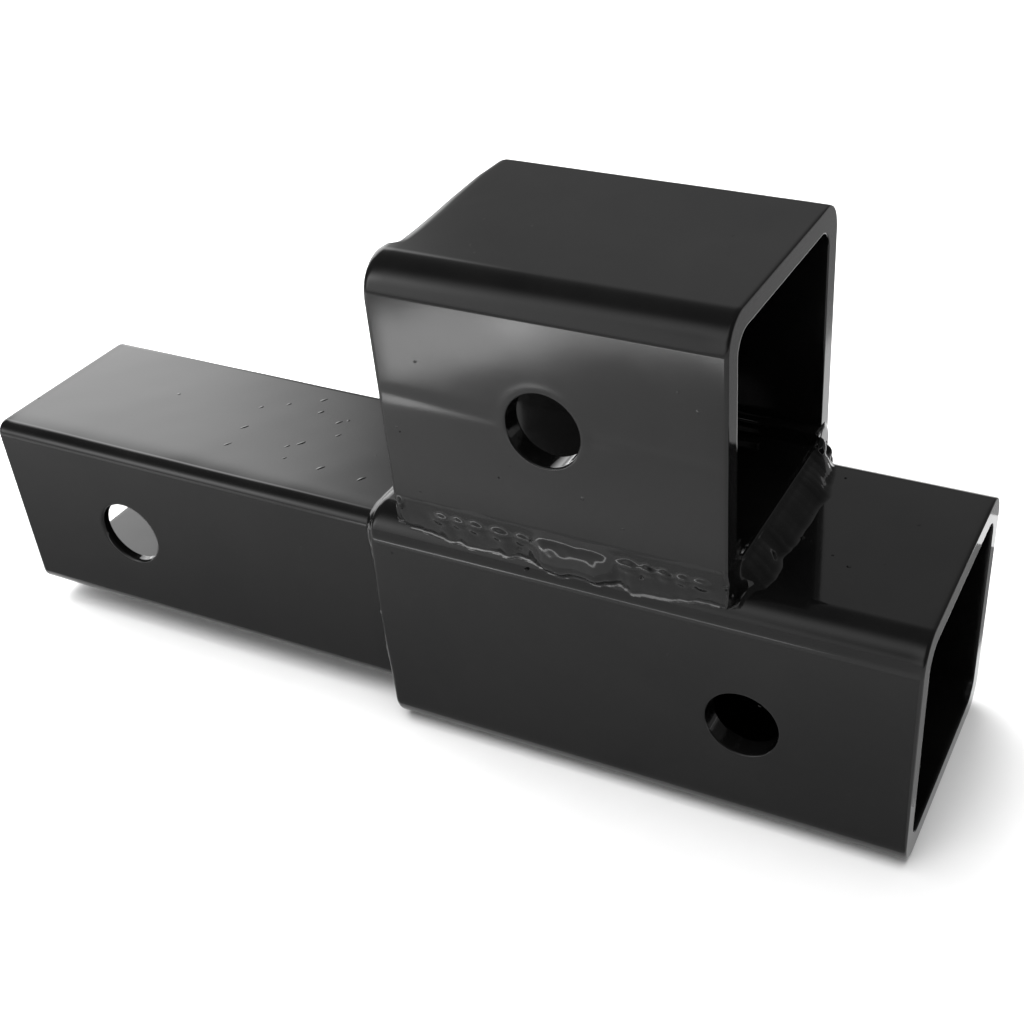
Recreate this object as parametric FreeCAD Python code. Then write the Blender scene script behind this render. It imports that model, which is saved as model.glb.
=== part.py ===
import FreeCAD, Part
import os
from FreeCAD import Vector as V

# Dual hitch receiver: two square receiver tubes, one welded on top of the
# other, on a square shank that is welded into the back of the lower one.
# All three tubes have a cross hole for a hitch pin.
#
# Frame: +X runs along the tubes towards the open receiver mouths, +Z is up,
# -Y is the near side. The origin is the centre of the shank's pin hole, on
# the shank's own centre line.

# ---------------------------------------------------------------- dimensions
SHANK_W = 50.8            # shank tube, outside width and height (2 in)
SHANK_WALL = 2.66         # 12 gauge
SHANK_R = 3.5             # outside corner radius
SHANK_R_IN = 1.2          # inside corner radius
SHANK_X0 = -37.1          # free end
SHANK_X1 = 124.0          # end that is hidden inside the lower receiver

REC_W = 63.5              # receiver tubes, outside width and height (2-1/2 in)
REC_WALL = 5.2            # leaves an opening of 53.1 mm
REC_R = 7.4               # outside corner radius
REC_R_IN = 4.9            # inside corner radius

LOW_X0 = 82.5             # lower receiver, rear end
LOW_X1 = 212.9            # lower receiver, mouth
LOW_Z = 0.0               # lower receiver, centre line height

UP_X0 = 91.3              # upper receiver, rear end
UP_X1 = 171.1             # upper receiver, mouth
UP_Z = LOW_Z + REC_W      # upper receiver stands on the lower one

PIN_D = 17.1              # pin holes, for a 5/8 in pin
SHANK_PIN_X = 0.0
SHANK_PIN_Z = 0.0
LOW_PIN_X = 174.3
LOW_PIN_Z = -1.4
UP_PIN_X = 130.6
UP_PIN_Z = UP_Z
PIN_EDGE = 0.4            # broken edge of each pin hole

END_EDGE = 0.8            # rounded outer edge of each tube end
END_EDGE_IN = 0.3         # broken inner edge of each tube end

# side welds, in the flared grooves between the two receivers
GROOVE_ROOT_Y = 27.3      # root of the bead, from the centre plane
TOE_LOW_DEG = 35.0        # lower toe, up the lower receiver's corner
TOE_UP_DEG = 12.0         # upper toe, down the upper receiver's corner
BEAD_CROWN_Y = 33.1       # crown of the bead, from the centre plane
BEAD_CROWN_Z = 33.3

# end welds, across both ends of the upper receiver
END_LEG_X = 5.6           # leg along the lower receiver's top
END_LEG_Z = 4.9           # leg up the upper receiver's end face
END_CROWN = 1.0           # convexity
END_CORNER_R = 7.5        # plan radius where the end weld turns the corner

# weld ring around the shank, on the lower receiver's rear end face
RING_LEG_X = 4.6
RING_LEG_R = 4.8


# ------------------------------------------------------------------- helpers
def rounded_square(x, half, r, zc=0.0):
    """Closed wire of a rounded square in the YZ plane at x."""
    c = half - r
    k = r * 0.7071067811865476
    pts = []

    def p(y, z):
        return V(x, y, zc + z)
    edges = [
        Part.makeLine(p(-c, -half), p(c, -half)),
        Part.Arc(p(c, -half), p(c + k, -c - k), p(half, -c)).toShape(),
        Part.makeLine(p(half, -c), p(half, c)),
        Part.Arc(p(half, c), p(c + k, c + k), p(c, half)).toShape(),
        Part.makeLine(p(c, half), p(-c, half)),
        Part.Arc(p(-c, half), p(-c - k, c + k), p(-half, c)).toShape(),
        Part.makeLine(p(-half, c), p(-half, -c)),
        Part.Arc(p(-half, -c), p(-c - k, -c - k), p(-c, -half)).toShape(),
    ]
    return Part.Wire(edges)


def bar(x0, x1, half, r, zc=0.0):
    """Solid rounded-square bar from x0 to x1."""
    return Part.Face(rounded_square(x0, half, r, zc)).extrude(V(x1 - x0, 0, 0))


def end_edges(solid, x, zc, half_lo, half_hi):
    """Edges of the perimeter at x whose distance from the axis is in range."""
    out = []
    for e in solid.Edges:
        b = e.BoundBox
        if abs(b.XMin - x) > 1e-4 or abs(b.XMax - x) > 1e-4:
            continue
        m = e.valueAt((e.FirstParameter + e.LastParameter) / 2.0)
        d = max(abs(m.y), abs(m.z - zc))
        if half_lo <= d <= half_hi:
            out.append(e)
    return out


def pin_cutter(x, z, width):
    """Cross hole with a broken edge at both outer faces."""
    r = PIN_D / 2.0
    h = width / 2.0
    cyl = Part.makeCylinder(r, width + 20.0, V(x, -h - 10.0, z), V(0, 1, 0))
    c1 = Part.makeCone(r + PIN_EDGE + 1.0, r, PIN_EDGE + 1.0,
                       V(x, -h - 1.0, z), V(0, 1, 0))
    c2 = Part.makeCone(r + PIN_EDGE + 1.0, r, PIN_EDGE + 1.0,
                       V(x, h + 1.0, z), V(0, -1, 0))
    return cyl.fuse([c1, c2])


def tube(x0, x1, width, wall, r_out, r_in, zc, pin_x, pin_z):
    """Square tube with eased ends and a pin hole through both side walls."""
    half = width / 2.0
    outer = bar(x0, x1, half, r_out, zc)
    outer = outer.makeFillet(END_EDGE,
                             end_edges(outer, x0, zc, half - 2.5, half + 1) +
                             end_edges(outer, x1, zc, half - 2.5, half + 1))
    inner = bar(x0 - 5.0, x1 + 5.0, half - wall, r_in, zc)
    t = outer.cut(inner)
    t = t.makeChamfer(END_EDGE_IN,
                      end_edges(t, x0, zc, half - wall - 1.5, half - wall + 0.01) +
                      end_edges(t, x1, zc, half - wall - 1.5, half - wall + 0.01))
    return t.cut(pin_cutter(pin_x, pin_z, width))


def one_solid(shape):
    s = max(shape.Solids, key=lambda q: q.Volume)
    return s.removeSplitter() if hasattr(s, "removeSplitter") else s


# --------------------------------------------------------------------- tubes
shank = tube(SHANK_X0, SHANK_X1, SHANK_W, SHANK_WALL, SHANK_R, SHANK_R_IN,
             0.0, SHANK_PIN_X, SHANK_PIN_Z)
lower = tube(LOW_X0, LOW_X1, REC_W, REC_WALL, REC_R, REC_R_IN,
             LOW_Z, LOW_PIN_X, LOW_PIN_Z)
upper = tube(UP_X0, UP_X1, REC_W, REC_WALL, REC_R, REC_R_IN,
             UP_Z, UP_PIN_X, UP_PIN_Z)

# ---------------------------------------------------------------- side welds
import math

half = REC_W / 2.0
cy = half - REC_R                       # corner centres, from the centre plane
lz = LOW_Z + half - REC_R               # lower receiver's top corner centre
uz = UP_Z - half + REC_R                # upper receiver's bottom corner centre


def on_corner(zc, deg, sign):
    a = math.radians(deg)
    return (cy + REC_R * math.cos(a), zc + sign * REC_R * math.sin(a))


def side_bead(side):
    """Bead in one groove; its back follows both tubes' rounded corners."""
    y1, z1 = on_corner(lz, TOE_LOW_DEG, 1)
    y2, z2 = on_corner(uz, TOE_UP_DEG, -1)
    s = side

    def p(y, z):
        return V(UP_X0, s * y, z)
    crown = Part.Arc(p(y1, z1), p(BEAD_CROWN_Y, BEAD_CROWN_Z), p(y2, z2)).toShape()
    loop = Part.Wire([crown,
                      Part.makeLine(p(y2, z2), p(GROOVE_ROOT_Y, z2)),
                      Part.makeLine(p(GROOVE_ROOT_Y, z2), p(GROOVE_ROOT_Y, z1)),
                      Part.makeLine(p(GROOVE_ROOT_Y, z1), p(y1, z1))])
    f = Part.Face(loop)
    solid = f.extrude(V(UP_X1 - UP_X0, 0, 0))
    return solid


near_weld = one_solid(side_bead(-1).cut(lower).cut(upper))
far_weld = one_solid(side_bead(1).cut(lower).cut(upper))


# ----------------------------------------------------------------- end welds
def end_bead(x_face, direction):
    """Convex fillet across one end of the upper receiver."""
    d = direction
    z0 = LOW_Z + half
    y_out = BEAD_CROWN_Y - 0.9

    def p(dx, z):
        return V(x_face + d * dx, -y_out, z)
    mid_x = END_LEG_X / 2.0 + END_CROWN * 0.66
    mid_z = z0 + END_LEG_Z / 2.0 + END_CROWN * 0.75
    loop = Part.Wire([
        Part.makeLine(p(-1.0, z0 - 4.0), p(END_LEG_X, z0 - 4.0)),
        Part.makeLine(p(END_LEG_X, z0 - 4.0), p(END_LEG_X, z0 + 0.2)),
        Part.Arc(p(END_LEG_X, z0 + 0.2), p(mid_x, mid_z),
                 p(0.0, z0 + END_LEG_Z)).toShape(),
        Part.makeLine(p(0.0, z0 + END_LEG_Z), p(-1.0, z0 + END_LEG_Z)),
        Part.makeLine(p(-1.0, z0 + END_LEG_Z), p(-1.0, z0 - 4.0))])
    prism = Part.Face(loop).extrude(V(0, 2 * y_out, 0))
    # plan outline with rounded outer corners
    r = min(END_CORNER_R, END_LEG_X - 0.4)
    k = r * 0.2928932188134524
    xo = x_face + d * END_LEG_X
    xb = x_face
    a = [V(xb, -y_out, 0), V(xo - d * r, -y_out, 0), V(xo - d * k, -y_out + k, 0),
         V(xo, -y_out + r, 0), V(xo, y_out - r, 0), V(xo - d * k, y_out - k, 0),
         V(xo - d * r, y_out, 0), V(xb, y_out, 0)]
    plan = Part.Wire([Part.makeLine(a[0], a[1]), Part.Arc(a[1], a[2], a[3]).toShape(),
                      Part.makeLine(a[3], a[4]), Part.Arc(a[4], a[5], a[6]).toShape(),
                      Part.makeLine(a[6], a[7]), Part.makeLine(a[7], a[0])])
    keep = Part.Face(plan).extrude(V(0, 0, 200.0))
    solid = prism.common(keep)
    # clear of the side grooves below the side welds' lower toes
    _, z1 = on_corner(lz, TOE_LOW_DEG, 1)
    floor = Part.makeBox(400, 200, 100, V(-50, -100, z1 - 100.0))
    return solid.cut(floor).cut(lower).cut(upper)


front_weld = one_solid(end_bead(UP_X1, 1))
rear_weld = one_solid(end_bead(UP_X0, -1))


# ----------------------------------------------------------- shank weld ring
def ring():
    w0 = rounded_square(LOW_X0, SHANK_W / 2.0 + RING_LEG_R, SHANK_R + RING_LEG_R * 0.8)
    w1 = rounded_square(LOW_X0 - RING_LEG_X * 0.55,
                        SHANK_W / 2.0 + RING_LEG_R * 0.62,
                        SHANK_R + RING_LEG_R * 0.62 * 0.8)
    w2 = rounded_square(LOW_X0 - RING_LEG_X, SHANK_W / 2.0 + 0.25, SHANK_R + 0.2)
    body = Part.makeLoft([w0, w1, w2], True, True)
    core = bar(LOW_X0 - 20.0, LOW_X0 + 20.0, SHANK_W / 2.0, SHANK_R)
    return body.cut(core).cut(lower)


shank_weld = one_solid(ring())

# --------------------------------------------------------------------- write
nodes = {
    "shank_tube": shank,
    "lower_receiver_tube": lower,
    "upper_receiver_tube": upper,
    "near_side_weld": near_weld,
    "far_side_weld": far_weld,
    "front_end_weld": front_weld,
    "rear_end_weld": rear_weld,
    "shank_weld": shank_weld,
}

os.makedirs("parts", exist_ok=True)
for name, shape in nodes.items():
    solid = one_solid(shape)
    if not solid.isValid():
        raise RuntimeError("invalid solid: " + name)
    solid.exportStep("parts/%s.step" % name)
    b = solid.BoundBox
    print("%-22s %9.1f mm3  x %.2f..%.2f  y %.2f..%.2f  z %.2f..%.2f  faces %d solids %d" % (
        name, solid.Volume, b.XMin, b.XMax, b.YMin, b.YMax, b.ZMin, b.ZMax,
        len(solid.Faces), len(shape.Solids)))
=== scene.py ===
import math

import bmesh
import bpy
import numpy as np
from mathutils import Matrix, Vector


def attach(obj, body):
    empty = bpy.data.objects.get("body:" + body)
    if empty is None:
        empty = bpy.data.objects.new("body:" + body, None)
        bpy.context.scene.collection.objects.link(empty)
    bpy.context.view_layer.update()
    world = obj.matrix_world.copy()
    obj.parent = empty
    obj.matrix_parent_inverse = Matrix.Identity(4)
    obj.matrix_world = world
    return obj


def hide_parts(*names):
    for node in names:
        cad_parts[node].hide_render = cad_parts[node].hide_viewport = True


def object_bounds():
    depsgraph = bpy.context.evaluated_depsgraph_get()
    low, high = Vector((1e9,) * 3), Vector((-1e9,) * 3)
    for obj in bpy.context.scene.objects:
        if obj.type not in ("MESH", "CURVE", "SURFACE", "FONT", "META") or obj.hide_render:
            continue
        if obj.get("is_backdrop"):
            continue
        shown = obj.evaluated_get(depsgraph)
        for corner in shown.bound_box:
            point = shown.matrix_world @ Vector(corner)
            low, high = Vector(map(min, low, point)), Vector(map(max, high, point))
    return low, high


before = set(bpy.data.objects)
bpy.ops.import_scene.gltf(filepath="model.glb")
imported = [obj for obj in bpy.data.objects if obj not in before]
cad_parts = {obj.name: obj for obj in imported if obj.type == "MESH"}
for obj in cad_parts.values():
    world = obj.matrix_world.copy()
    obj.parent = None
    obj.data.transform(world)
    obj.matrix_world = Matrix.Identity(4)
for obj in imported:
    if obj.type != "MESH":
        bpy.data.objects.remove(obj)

scene = bpy.context.scene
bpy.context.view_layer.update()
MM = 0.001
RNG = np.random.default_rng(20417)

# ------------------------------------------------------------------ sizes, mm
SHANK = dict(half=25.4, wall=2.66, r=3.5, r_in=1.2, x0=-37.1, x1=124.0, cz=0.0, hole=(0.0, 0.0), pin_edge=0.85, pin_in=0.5)
LOWER = dict(half=31.75, wall=5.2, r=7.4, r_in=4.9, x0=82.5, x1=212.9, cz=0.0, hole=(174.3, -1.4), pin_edge=0.45, pin_in=0.2)
UPPER = dict(half=31.75, wall=5.2, r=7.4, r_in=4.9, x0=91.3, x1=171.1, cz=63.5, hole=(130.6, 63.5), pin_edge=0.45, pin_in=0.2)
PIN_R = 8.55
END_EDGE = 0.8
END_EDGE_IN = 0.3
LIMIT_Y = 33.1


def smooth_noise(P, seed, wavelengths, count=7):
    """A smooth field of about -1 to 1 made of plane waves of the given lengths, in mm."""
    rng = np.random.default_rng(seed)
    out = np.zeros(len(P))
    for _ in range(count):
        d = rng.normal(size=3)
        d /= np.linalg.norm(d)
        wl = rng.uniform(*wavelengths)
        out += np.sin(P @ d * (2 * math.pi / wl) + rng.uniform(0, 2 * math.pi))
    return out / math.sqrt(count) / 1.4


def mesh_object(name, verts_mm, faces, material, node=None, extra_materials=(), face_slots=None):
    me = bpy.data.meshes.new(name)
    me.from_pydata((np.asarray(verts_mm) * MM).tolist(), [], [list(map(int, f)) for f in faces])
    me.update()
    bm = bmesh.new()
    bm.from_mesh(me)
    bmesh.ops.recalc_face_normals(bm, faces=bm.faces)
    bm.to_mesh(me)
    bm.free()
    me.polygons.foreach_set("use_smooth", [True] * len(me.polygons))
    me.materials.append(material)
    for m in extra_materials:
        me.materials.append(m)
    if face_slots is not None:
        me.polygons.foreach_set("material_index", list(map(int, face_slots)))
    me.update()
    o = bpy.data.objects.new(name, me)
    scene.collection.objects.link(o)
    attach(o, "root")
    if node:
        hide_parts(*([node] if isinstance(node, str) else node))
    return o


# ------------------------------------------------------------------ square tubes
CORNER_DEG = [0.4, 1.1, 2.2, 3.5, 5.4, 7.7, 11.6, 15.5, 19.4, 25, 31, 38, 45, 52, 59, 66, 72, 78, 82, 85.5, 88.2]
CORNER_SEGS = len(CORNER_DEG) + 1
PATCH_A = 12.0
PATCH_N = 36
SUPPORT = 0.18


def flat_lines(f, lo, hi, n_lo, n_mid, n_hi):
    """Coordinates along a flat from -f to f, with close lines beside its ends and a regular patch from lo to hi."""
    a = np.linspace(-f + SUPPORT, lo, n_lo + 1)
    b = np.linspace(lo, hi, n_mid + 1)[1:]
    c = np.linspace(hi, f - 1.3, n_hi + 1)[1:]
    return np.concatenate([[-f], a, b, c, [f - 1.0, f - 0.75, f - 0.5, f - 0.3, f - 0.12, f]])


def perimeter(half, r, hz_rel, counts):
    """(y, z) of the ring's points and their outward normals; z is from the tube's axis."""
    f = half - r
    n_lo, n_hi, n_top = counts
    side = flat_lines(f, hz_rel - PATCH_A, hz_rel + PATCH_A, n_lo, PATCH_N, n_hi)
    top = np.concatenate([[-f], np.linspace(-f + SUPPORT, f - SUPPORT, n_top + 1), [f]])
    pts, nrm = [], []

    def corner(cy, cz, a0):
        for deg in CORNER_DEG:
            a = a0 - math.radians(deg)
            n = (math.cos(a), math.sin(a))
            pts.append((cy + r * n[0], cz + r * n[1]))
            nrm.append(n)

    for z in side:
        pts.append((-half, z)); nrm.append((-1.0, 0.0))
    corner(-f, f, math.pi)
    for y in top:
        pts.append((y, half)); nrm.append((0.0, 1.0))
    corner(f, f, math.pi / 2)
    for z in side[::-1]:
        pts.append((half, z)); nrm.append((1.0, 0.0))
    corner(f, -f, 0.0)
    for y in top[::-1]:
        pts.append((y, -half)); nrm.append((0.0, -1.0))
    corner(-f, -f, -math.pi / 2)
    ns, nt = len(side), len(top)
    j_near = n_lo + 1
    j_far = ns + (CORNER_SEGS - 1) + nt + (CORNER_SEGS - 1) + (ns - 1 - (n_lo + 1 + PATCH_N))
    return np.array(pts), np.array(nrm), j_near, j_far


def lip(rho, height):
    """A low raised rim round a punched hole, as a negative depth."""
    return -height * np.exp(-((rho - 9.7) / 1.0) ** 2)


def bend_table(runs, turns, tail_from):
    """Depth along a corner's bend from the extra turn of its skin in degrees, closed again over the rest of the bend."""
    end = 7.4 * math.pi / 2
    t = np.arange(runs[0], end + 0.001, 0.04)
    head = np.tan(np.radians(np.interp(t, runs, turns, left=0, right=0)))
    tail = np.clip((t - tail_from) / 1.0, 0, 1) * np.clip((end - t) / 1.5, 0, 1)
    slope = head - tail * head.sum() / tail.sum()
    return t, np.concatenate([[0], np.cumsum((slope[1:] + slope[:-1]) / 2) * 0.04])


BEND_LOWER = bend_table([-1.3, -0.8, -0.4, -0.1, 0.1, 0.3, 0.5, 0.8, 1.2, 1.7, 2.2, 2.8], [0, 2.2, 5.5, 9.0, 10.6, 10.8, 11.0, 11.0, 9.3, 5.5, 1.5, 0], 2.0)
BEND_UPPER = bend_table([-0.06, 0.0, 0.1, 0.3, 0.6, 0.85, 1.25, 1.75, 2.25, 2.8], [0, 4, 10, 10.4, 10.9, 10.8, 8.6, 5.0, 1.6, 0], 2.0)


def shoulder(P, T):
    """The near top corner's bend starts with a quick turn, so the flat ends in a crisp line."""
    f = T["half"] - T["r"]
    up = P[:, 2] - T["cz"] - f
    ang = np.arctan2(np.maximum(up, 0), np.maximum(-P[:, 1] - f, 1e-9))
    run = np.where(up < 0, up, ang * T["r"])
    depth = np.interp(run, *(BEND_LOWER if T is LOWER else BEND_UPPER))
    return np.where((P[:, 1] < 0) & (P[:, 2] > T["cz"]), depth, 0)


def upper_shape(P):
    """A shallow valley along the near face, the raised rims of the pin hole, and a far wall that stands out a little."""
    x, y, z = P.T
    centre = 64.85 - (x - 92.5) * (1.55 / 78.6) + 0.12 * np.sin(x / 7.0)
    depth = 0.10 + 0.02 * np.sin(x / 11.0 + 1.0)
    valley = depth * np.exp(-((z - centre) / 1.6) ** 2)
    rho = np.hypot(x - 130.6, z - 63.5)
    valley = valley * np.clip((rho - 9.3) / 2.5, 0, 1)
    out = np.where(y < -31.0, valley + lip(rho, 0.03), np.where(y > 31.0, lip(rho, 0.03), 0))
    f = 24.35
    dy, dz = np.maximum(y - f, 0), np.maximum(abs(z - 63.5) - f, 0)
    lean = dy / np.maximum(np.hypot(dy, dz), 1e-9)
    return out + shoulder(P, UPPER) - 0.5 * lean * np.clip((z - 45) / 20, 0, 1)


def lower_shape(P):
    x, y, z = P.T
    rho = np.hypot(x - 174.3, z + 1.4)
    return np.where(abs(y) > 31.0, lip(rho, 0.02), 0) + shoulder(P, LOWER)


def shank_shape(P):
    """The top flat falls away gently before the near corner's bend."""
    x, y, z = P.T
    rho = np.hypot(x, z)
    out = np.where(abs(y) > 24.6, lip(rho, 0.02), 0)
    w = 4.6 + 0.5 * np.sin(x / 17.0)
    fall = 0.0205 / 2 * np.clip(-y - (21.9 - w), 0, w) ** 2
    ang = np.clip(np.degrees(np.arctan2(z - 21.9, -y - 21.9)), 0, 90)
    round_corner = np.where((y < -21.9) & (z > 21.9), (ang / 90.0) ** 1.5, 1.0)
    top = (z > 21.9) & (y < 0)
    return out + np.where(top, fall * round_corner, 0)


SHANK.update(shape=shank_shape, wave=0.085, seed=5)
LOWER.update(shape=lower_shape, wave=0.05, seed=6)
UPPER.update(shape=upper_shape, wave=0.05, seed=7)


def skin_depth(T, P):
    """How far the outer skin sits in from its nominal place, mm. Drawn steel under thick paint is a little wavy."""
    amount = T["wave"] * (1 + smooth_noise(P, T["seed"], (26, 62))) * 0.5
    amount += T["wave"] * 0.08 * (1 + smooth_noise(P, T["seed"] + 50, (8, 15)))
    amount = amount + T["shape"](P)
    ends = np.clip((np.minimum(P[:, 0] - T["x0"], T["x1"] - P[:, 0])) / 1.5, 0, 1)
    return amount * (0.35 + 0.65 * ends)


def build_tube(name, T, material, inner_material, edge_at=None, inner_shape=None, cut_at=None):
    """One hollow square tube as a single closed mesh.
    edge_at(points, end) gives the rounding of the outer end edge at each perimeter point,
    cut_at(points) how far the rear end is ground back there."""
    half, wall, r, r_in, x0, x1, cz = (T[k] for k in ("half", "wall", "r", "r_in", "x0", "x1", "cz"))
    hx, hz = T["hole"][0], T["hole"][1] - cz
    f = half - r
    step = 1.45
    n_lo = max(2, round((hz - PATCH_A + f) / step))
    n_hi = max(2, round((f - hz - PATCH_A) / step))
    n_top = max(4, round(2 * f / step))
    po, no, j_near, j_far = perimeter(half, r, hz, (n_lo, n_hi, n_top))
    pi, ni_, _, _ = perimeter(half - wall, r_in, hz, (n_lo, n_hi, n_top))
    N = len(po)
    PIN_EDGE, g2 = T["pin_edge"], T["pin_in"]
    none = np.zeros(N)
    b0 = none if edge_at is None else edge_at(po, 0)
    b1 = none if edge_at is None else edge_at(po, 1)
    e0, e1 = 1.05 + b0, 1.05 + b1          # how far the rounding runs along the tube
    t0, t1 = 0.5 + b0 * 0.8, 0.5 + b1 * 0.8    # and how deep it goes into the wall
    xr = x0 + (none if cut_at is None else cut_at(po))
    emax = max((e0 + xr - x0).max(), e1.max())
    lines = np.concatenate([
        np.linspace(x0 + emax + SUPPORT, hx - PATCH_A, max(2, round((hx - PATCH_A - x0) / step)) + 1),
        np.linspace(hx - PATCH_A, hx + PATCH_A, PATCH_N + 1)[1:],
        np.linspace(hx + PATCH_A, x1 - emax - SUPPORT, max(2, round((x1 - hx - PATCH_A) / step)) + 1)[1:],
    ])
    i_patch = int(np.argmin(abs(lines - (hx - PATCH_A))))
    rows_x, rows_s = [], []            # x and inward share for every station, each an array of N

    def station(x, depth):
        rows_x.append(np.broadcast_to(np.asarray(x, float), (N,)).copy())
        rows_s.append(np.broadcast_to(np.asarray(depth, float) / wall, (N,)).copy())

    station(xr + e0, 0)
    for x in lines:
        station(x, 0)
    station(x1 - e1, 0)
    for k in range(1, 7):
        a = math.pi / 2 * k / 6
        station(x1 - e1 * (1 - math.sin(a)), t1 * (1 - math.cos(a)))
    g = END_EDGE_IN
    for u in (0.06, 0.35, 0.65, 0.94):
        station(x1, t1 + (wall - g - t1) * u)
    for k in range(0, 5):
        a = math.pi / 2 * k / 4
        station(x1 - g * (1 - math.cos(a)), wall - g + g * math.sin(a))
    n_out = len(lines)
    i_inner = len(rows_x)
    inner_lines = lines[::-1]
    for x in inner_lines:
        station(x, wall)
    for k in range(0, 5):
        a = math.pi / 2 * (1 - k / 4)
        station(xr + g * (1 - math.cos(a)), wall - g + g * math.sin(a))
    for u in (0.94, 0.65, 0.35, 0.06):
        station(xr, t0 + (wall - g - t0) * u)
    for k in range(5, -1, -1):
        if k == 0:
            continue
        a = math.pi / 2 * k / 6
        station(xr + e0 * (1 - math.sin(a)), t0 * (1 - math.cos(a)))
    X = np.array(rows_x)
    S = np.array(rows_s)
    nst = len(X)
    YZ = po[None] * (1 - S[..., None]) + pi[None] * S[..., None]
    V = np.concatenate([X[..., None], YZ[..., :1], YZ[..., 1:] + cz], axis=2)
    index = np.arange(nst * N).reshape(nst, N)
    keep = np.ones((nst, N), bool)      # quad (i, j) spans stations i, i+1 and points j, j+1
    out_a = 1 + i_patch
    in_a = i_inner + (n_out - 1 - (i_patch + PATCH_N))
    for i0 in (out_a, in_a):
        for j0 in (j_near, j_far):
            keep[i0:i0 + PATCH_N, j0:j0 + PATCH_N] = False
    quads, kinds = [], []
    inner_rows = np.zeros(nst, bool)
    inner_rows[i_inner - 1:i_inner + n_out] = True
    for i in range(nst):
        i2 = (i + 1) % nst
        js = np.nonzero(keep[i])[0]
        j2 = (js + 1) % N
        quads.append(np.stack([index[i, js], index[i2, js], index[i2, j2], index[i, j2]], 1))
        kinds.append(np.full(len(js), 1 if inner_rows[i] and inner_rows[i2] else 0))
    verts = [V.reshape(-1, 3)]
    count = nst * N
    # each hole: rings of points from the outer patch, over its rounded edge, along the bore, to the inner patch
    M = 4 * PATCH_N
    theta = []
    for e, a0 in enumerate((-135, -45, 45, 135)):
        for k in range(PATCH_N):
            theta.append(math.radians(a0 + 90 * k / PATCH_N))
    theta = np.array(theta)             # starts at the patch corner with low x and low z, goes up in x first

    def square_loop(i0, j0, inner, far):
        """Indices round the patch in the order of theta: along +x at low z, up at high x, back, down."""
        def at(a, b):                    # a counts +x, b counts +z
            i = i0 + (PATCH_N - a if inner else a)
            j = j0 + (PATCH_N - b if far else b)
            return index[i, j]
        n = PATCH_N
        loop = [at(k, 0) for k in range(n)] + [at(n, k) for k in range(n)]
        loop += [at(n - k, n) for k in range(n)] + [at(0, n - k) for k in range(n)]
        return np.array(loop)

    def add(points):
        nonlocal count
        verts.append(points)
        ids = np.arange(count, count + len(points))
        count += len(points)
        return ids

    def strip(a, b, kind):
        n = len(a)
        k = np.arange(n)
        k2 = (k + 1) % n
        quads.append(np.stack([a[k], a[k2], b[k2], b[k]], 1))
        kinds.append(np.full(n, kind))

    R_e = PIN_R + PIN_EDGE
    for far, j0 in ((False, j_near), (True, j_far)):
        sign = 1 if far else -1

        def ring(radius, depth):
            return np.stack([hx + radius * np.cos(theta), np.full(M, sign * (half - depth)), hz + cz + radius * np.sin(theta)], 1)

        loop = square_loop(out_a, j0, False, far)
        sq = V.reshape(-1, 3)[loop]
        inner_circle = ring(R_e, 0)
        previous = loop
        for u in (0.10, 0.22, 0.34, 0.46, 0.57, 0.67, 0.76, 0.84, 0.91, 0.96, 1.0):
            p = sq * (1 - u) + inner_circle * u
            ids = add(p)
            strip(previous, ids, 0)
            previous = ids
        for k in range(1, 5):
            a = math.pi / 2 * k / 4
            ids = add(ring(R_e - PIN_EDGE * math.sin(a), PIN_EDGE * (1 - math.cos(a))))
            strip(previous, ids, 0)
            previous = ids
        span = wall - g2 - PIN_EDGE
        for d in PIN_EDGE + span * np.array([0.05, 0.25, 0.5, 0.75, 0.95]):
            ids = add(ring(PIN_R, d))
            strip(previous, ids, 0)
            previous = ids
        for k in range(0, 4):
            a = math.pi / 2 * k / 3
            ids = add(ring(PIN_R + g2 * (1 - math.cos(a)), wall - g2 + g2 * math.sin(a)))
            strip(previous, ids, 0)
            previous = ids
        loop = square_loop(in_a, j0, True, far)
        sq = V.reshape(-1, 3)[loop]
        outer_circle = ring(PIN_R + g2, wall)
        for u in (0.05, 0.15, 0.3, 0.5, 0.7, 0.86):
            ids = add(outer_circle * (1 - u) + sq * u)
            strip(previous, ids, 1)
            previous = ids
        strip(previous, loop, 1)
    P = np.concatenate(verts)
    F = np.concatenate(quads)
    kinds = np.concatenate(kinds)
    used = np.zeros(len(P), bool)
    used[F.ravel()] = True
    remap = np.cumsum(used) - 1
    P = P[used]
    F = remap[F]
    q = np.stack([P[:, 1], P[:, 2] - cz], 1)
    core = np.clip(q, -f, f)
    d = q - core
    flat_y = (abs(q[:, 0]) >= f) | (abs(q[:, 1]) >= f)
    length = np.linalg.norm(d, axis=1)
    depth = r - length
    normal = d / np.maximum(length, 1e-6)[:, None]
    fade = np.clip(1 - depth / 1.2, 0, 1) * flat_y
    amount = skin_depth(T, P) * fade
    P[:, 1] -= normal[:, 0] * amount
    P[:, 2] -= normal[:, 1] * amount
    hi = half - wall
    if inner_shape is not None:
        inside = (abs(q[:, 0]) <= hi + 0.01) & (abs(q[:, 1]) <= hi + 0.01)
        P[inside] = inner_shape(P[inside])
    return mesh_object(name, P, F, material, name_to_node[name], (inner_material,), kinds)


name_to_node = {"shank": "shank_tube", "lower_receiver": "lower_receiver_tube", "upper_receiver": "upper_receiver_tube"}


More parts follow.
